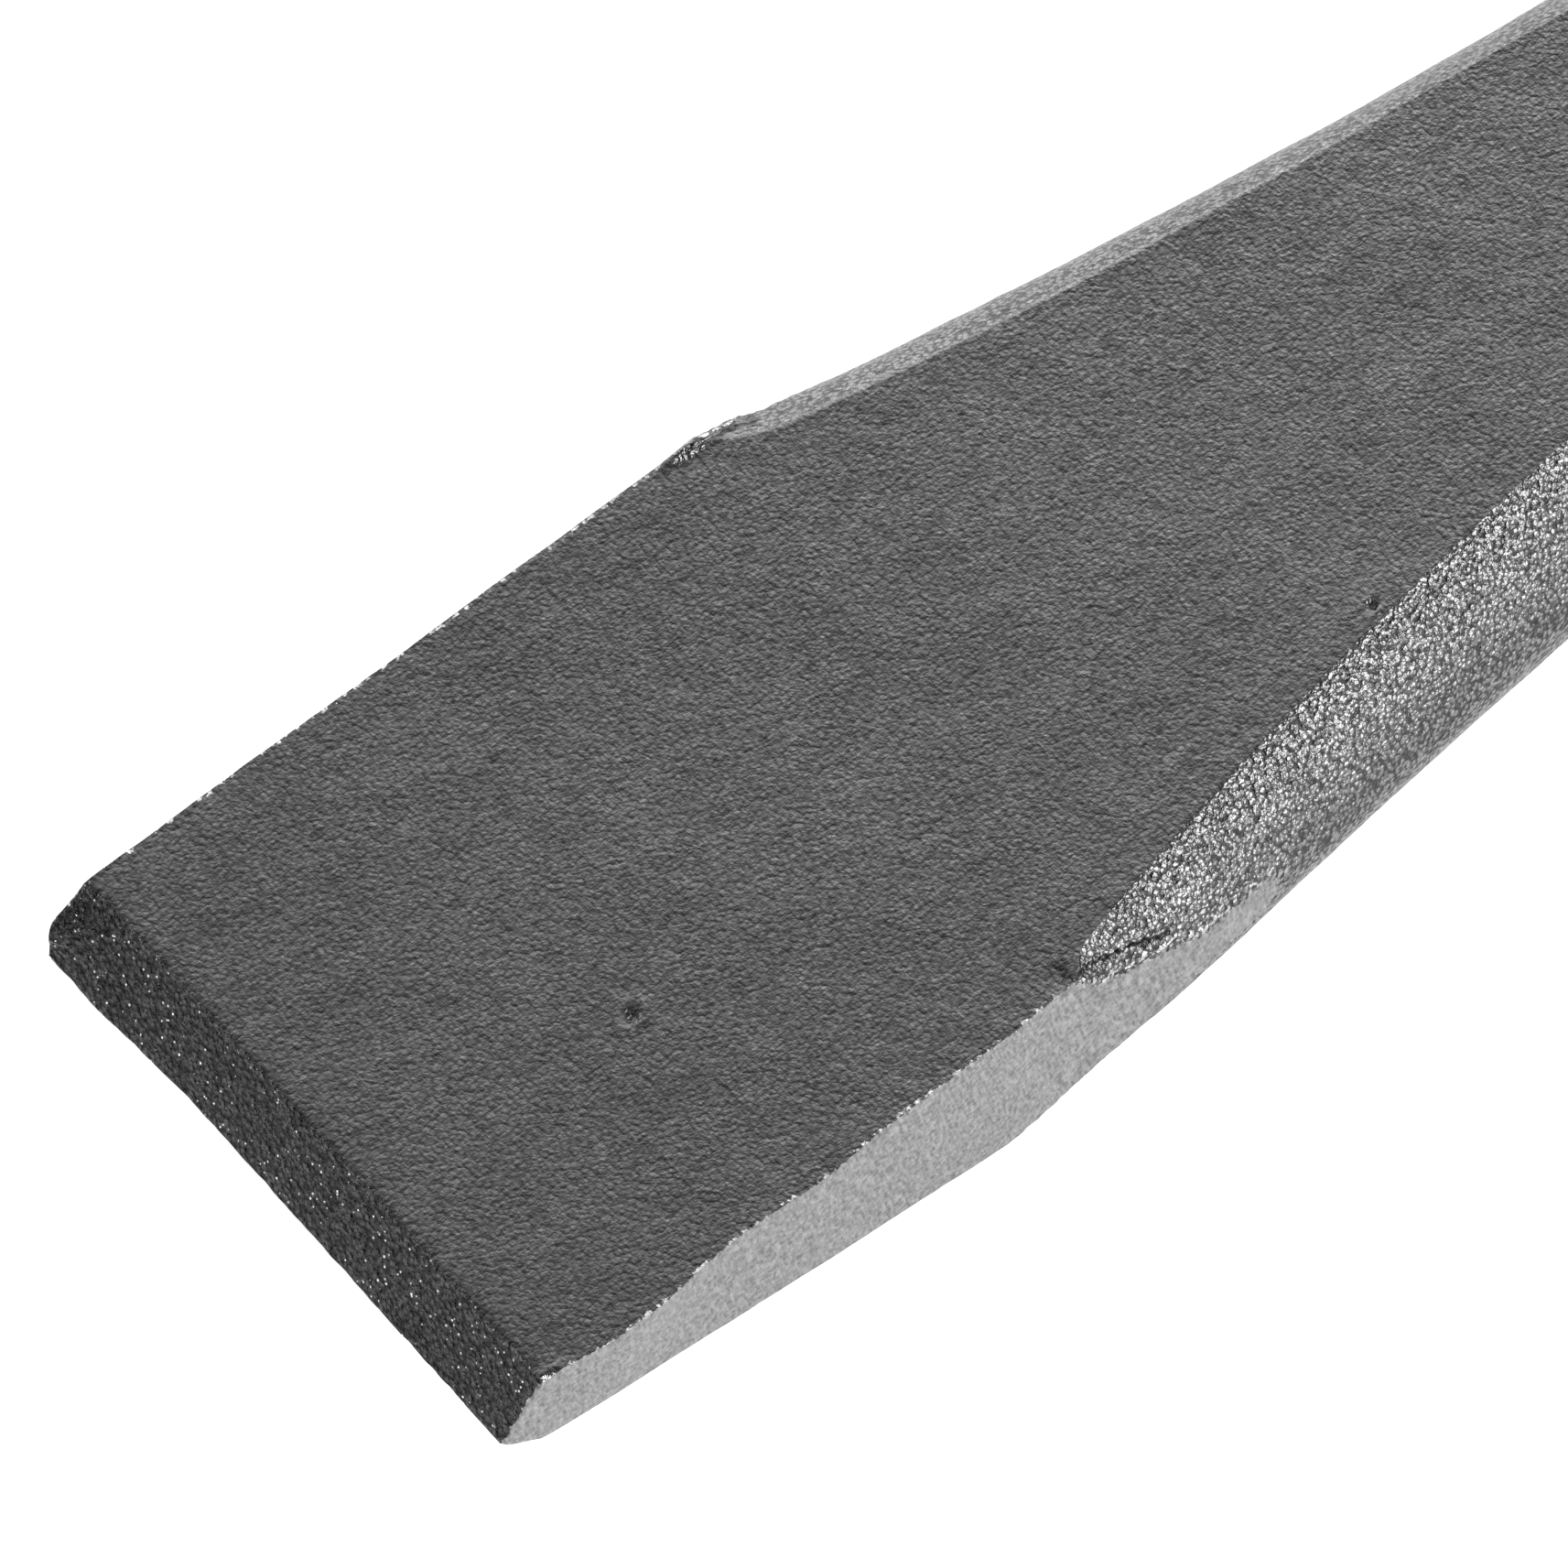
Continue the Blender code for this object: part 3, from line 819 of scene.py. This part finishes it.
def skin_value(g, fields):
    """The brightness of the blasted skin, with painted shade on the end bevels, in the pits, along the crack
    and below the fold, painted glints on the bevels and on the domes' tops, and painted light towards the
    far end and on the -Y side.
    """
    place, broad = fields.place, fields.broad
    value = g.span(fields.patches, 0.25, 0.75, 0.100, 0.120)
    value = g.math("MULTIPLY", value, g.span(fields.specks, 0.3, 0.7, 0.9, 1.1))
    flecks = g.noise(place, 0.15 * MM, detail=2.0, rough=0.6)
    value = g.math("MULTIPLY", value, g.span(flecks, 0.3, 0.7, 0.72, 1.28))
    # Painted light: the broad faces are brightened towards the back, as if light fell brighter on the far
    # end.
    painted_far_light = g.span(fields.behind, 0, 45, 0.98, 1.35)
    value = g.math("MULTIPLY", value, g.mix(broad, 1.0, painted_far_light))
    # Painted shade: the end bevels are darkened to 0.4 of the skin's brightness.
    bevel = g.span(g.math("ADD", fields.behind, g.math("MULTIPLY", fields.fray, 1.2)), 0.10, -0.10)
    value = g.math("MULTIPLY", value, g.span(bevel, 0, 1, 1.0, 0.40))

    # Partly oxide in the creases between the domes and partly painted light: dome tops are painted brighter
    # and creases darker, strongest on the lower sides and mild on the broad faces.
    hollow = g.span(fields.grain, 0.25, 0.70)
    low = g.span(g.facing("Z"), 0.45, 0.0)
    low_painted_pearls = g.span(fields.grain, 0.32, 0.60, 1.65, 0.30)
    side_pearl_shading = g.mix(low, g.span(hollow, 0, 1, 1.3, 0.65), low_painted_pearls)
    value = g.math("MULTIPLY", value, g.mix(broad, side_pearl_shading, g.span(hollow, 0, 1, 1.12, 0.80)))

    # Painted glints: sparse bright points on the end bevels, mixed towards a light grey.
    points = g.span(g.cells(place, 0.20 * MM), 0.22, 0.12)
    painted_glints = g.math("MULTIPLY", points, g.span(fields.specks, 0.50, 0.54))
    value = g.mix(g.math("MULTIPLY", painted_glints, bevel), value, 0.75)

    # Partly oxide held in the crack and partly painted shade: the fold's groove and the burr's crevice are
    # darkened.
    value = g.math("MULTIPLY", value, g.span(fields.crack, 0, 1, 1.0, g.mix(broad, 0.15, 0.5)))
    # Painted shade: the strip below the fold, under the lap, is darkened.
    under = g.math("MULTIPLY", g.span(g.attribute("crease_mm"), 0.0, -0.06), g.attribute("creased"))
    value = g.math("MULTIPLY", value, g.span(under, 0, 1, 1.0, 0.85))
    # Painted shade: the skin is darkened in the pits.
    value = g.math("MULTIPLY", value, g.span(g.attribute("pitted"), 0.2, 0.8, 1.0, 0.45))
    # Painted light: surfaces that face -Y are brightened, as if lit more from that side.
    return g.math("MULTIPLY", value, g.span(g.facing("Y"), -0.2, -0.6, 1.0, 1.55))


def flank_value(g, fields):
    """The brightness of the ground flanks: mottled, with fine grinding lines and a few dark pits."""
    mottle = g.noise(fields.place, 0.16 * MM, detail=2.5, rough=0.65)
    mixed = g.math("MULTIPLY_ADD", mottle, 0.55, g.math("MULTIPLY", fields.grind, 0.45))
    value = g.span(mixed, 0.36, 0.64, 0.112, 0.338)
    pits = g.span(g.cells(fields.jostled, 0.32 * MM), 0.14, 0.08)
    return g.math("MULTIPLY", value, g.span(pits, 0, 1, 1.0, 0.6))


def chip_glint_share(g, fields):
    """Chips along the ragged border between the ground and the blasted surface, painted bright as glints."""
    near = g.math("MULTIPLY", g.span(fields.reach, -0.085, -0.05), g.span(fields.reach, 0.05, 0.01))
    broken = g.span(g.noise(fields.place, 0.20 * MM, detail=2.5), 0.53, 0.60)
    return g.math("MULTIPLY", g.math("MULTIPLY", near, broken), g.attribute("chip_glints"))


def steel_colour(g, fields):
    value = g.mix(fields.ground, skin_value(g, fields), flank_value(g, fields))
    # Painted glints: the chips along the ground border are mixed towards a bright grey.
    value = g.mix(chip_glint_share(g, fields), value, 0.65)
    value = g.mix(fields.turned, value, g.span(fields.rings, 0.3, 0.7, 0.19, 0.30))
    g.link(g.grey(value), g.shader.inputs["Base Color"])
    g.shader.inputs["Metallic"].default_value = 1.0
    # Painted shade in the reflections: the sides' creases between the domes reflect less, as if
    # self-shadowed.
    crease_shade_tint = g.mix(fields.broad, g.span(fields.grain, 0.32, 0.60, 1.0, 0.68), 0.85)
    g.link(g.grey(g.mix(fields.ground, crease_shade_tint, 0.85)), g.shader.inputs["Specular Tint"])


def steel_roughness(g, fields):
    skin = g.span(fields.specks, 0.3, 0.7, 0.22, 0.30)
    flank = g.span(fields.grind, 0.3, 0.7, 0.30, 0.42)
    shank = g.span(fields.rings, 0.3, 0.7, 0.28, 0.38)
    g.link(g.mix(fields.turned, g.mix(fields.ground, skin, flank), shank), g.shader.inputs["Roughness"])


def steel_bump(g, fields):
    not_turned = g.span(fields.turned, 0, 1, 1.0, 0.12)
    skin_share = g.math("MULTIPLY", g.math("SUBTRACT", 1.0, fields.ground), not_turned)
    normal = g.bump(g.math("MULTIPLY", blasted_height(g, fields), skin_share), MM)
    normal = g.bump(g.math("MULTIPLY", fields.grind, fields.ground), GRINDING_DEPTH, normal)
    normal = g.bump(g.math("MULTIPLY", fields.rings, fields.turned), TURNING_DEPTH, normal)
    g.link(normal, g.shader.inputs["Normal"])


def chisel_steel():
    """Shot-blasted dark skin over the forging, cut through by satin ground flanks, and a turned shank."""
    g = Graph("chisel_steel")
    fields = SteelFields(g)
    steel_colour(g, fields)
    steel_roughness(g, fields)
    steel_bump(g, fields)
    return g.material


def floor_material():
    g = Graph("pale_floor")
    g.shader.inputs["Roughness"].default_value = 0.9
    value = g.span(g.noise(g.position(), 0.4, detail=2.0), 0.3, 0.7, 0.74, 0.78)
    g.link(g.grey(value), g.shader.inputs["Base Color"])
    g.shader.inputs["Emission Color"].default_value = (1, 1, 1, 1)
    g.shader.inputs["Emission Strength"].default_value = FLOOR_GLOW
    return g.material


# ---- The studio and the camera


def studio_world():
    """A soft room that is brightest beyond the bit and darkest on the camera's side."""
    world = bpy.data.worlds.new("studio")
    bpy.context.scene.world = world
    world.use_nodes = True
    tree = world.node_tree
    coordinates = tree.nodes.new("ShaderNodeTexCoord")
    beyond = tree.nodes.new("ShaderNodeVectorMath")
    beyond.operation = "DOT_PRODUCT"
    beyond.inputs[1].default_value = SKY_BRIGHT_SIDE
    shade = tree.nodes.new("ShaderNodeMath")
    shade.operation = "POWER"
    shade.inputs[0].default_value = SKY_STEEPNESS
    tree.nodes["Background"].inputs["Strength"].default_value = SKY_LEVEL
    tree.links.new(coordinates.outputs["Generated"], beyond.inputs[0])
    tree.links.new(beyond.outputs["Value"], shade.inputs[1])
    tree.links.new(shade.outputs["Value"], tree.nodes["Background"].inputs["Color"])


def soft_light(name, direction, size, power):
    """A square softbox in a direction from the blade, facing it."""
    data = bpy.data.lights.new(name, "AREA")
    data.shape = "SQUARE"
    data.size = size
    data.energy = power
    obj = bpy.data.objects.new(name, data)
    bpy.context.scene.collection.objects.link(obj)
    away = Vector(direction).normalized()
    obj.location = Vector((EDGE_X - VIEW_BACK, 0, AXIS_HEIGHT)) + away * LIGHT_DISTANCE
    obj.rotation_euler = away.to_track_quat("Z", "Y").to_euler()


def add_floor():
    bm = bmesh.new()
    bmesh.ops.create_grid(bm, x_segments=8, y_segments=8, size=FLOOR_SIZE / 2)
    floor = to_object("floor", bm)
    floor.data.materials.append(floor_material())


def add_camera():
    data = bpy.data.cameras.new("camera")
    data.sensor_width = SENSOR_WIDTH
    data.lens = SENSOR_WIDTH * VIEW_DISTANCE / VIEW_WIDTH
    data.clip_start = 0.01
    camera = bpy.data.objects.new("camera", data)
    bpy.context.scene.collection.objects.link(camera)
    target = Vector((EDGE_X - VIEW_BACK, VIEW_ACROSS, AXIS_HEIGHT + VIEW_RISE))
    right = Vector((0, 0, 1)).cross(VIEW_DIRECTION).normalized()
    up = VIEW_DIRECTION.cross(right)
    rolled_right = right * math.cos(VIEW_ROLL) + up * math.sin(VIEW_ROLL)
    rolled_up = up * math.cos(VIEW_ROLL) - right * math.sin(VIEW_ROLL)
    turned = Matrix((rolled_right, rolled_up, VIEW_DIRECTION)).transposed().to_4x4()
    camera.matrix_world = Matrix.Translation(target + VIEW_DIRECTION * VIEW_DISTANCE) @ turned
    bpy.context.scene.camera = camera


def add_chisel():
    chisel = bpy.data.objects.new("chisel", chisel_mesh())
    bpy.context.scene.collection.objects.link(chisel)
    chisel.data.materials.append(chisel_steel())
    chisel.data.shade_smooth()
    chisel.data.set_sharp_from_angle(angle=math.radians(42))
    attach(chisel, "root")
    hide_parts("chisel_bar")


add_camera()
add_chisel()
add_floor()
studio_world()
soft_light("right_softbox", direction=(-0.33, 0.83, 0.32), size=0.75, power=16.5)
soft_light("front_light", direction=(0.87, -0.03, 0.48), size=0.2, power=1.0)
bpy.context.scene.view_settings.view_transform = "Standard"
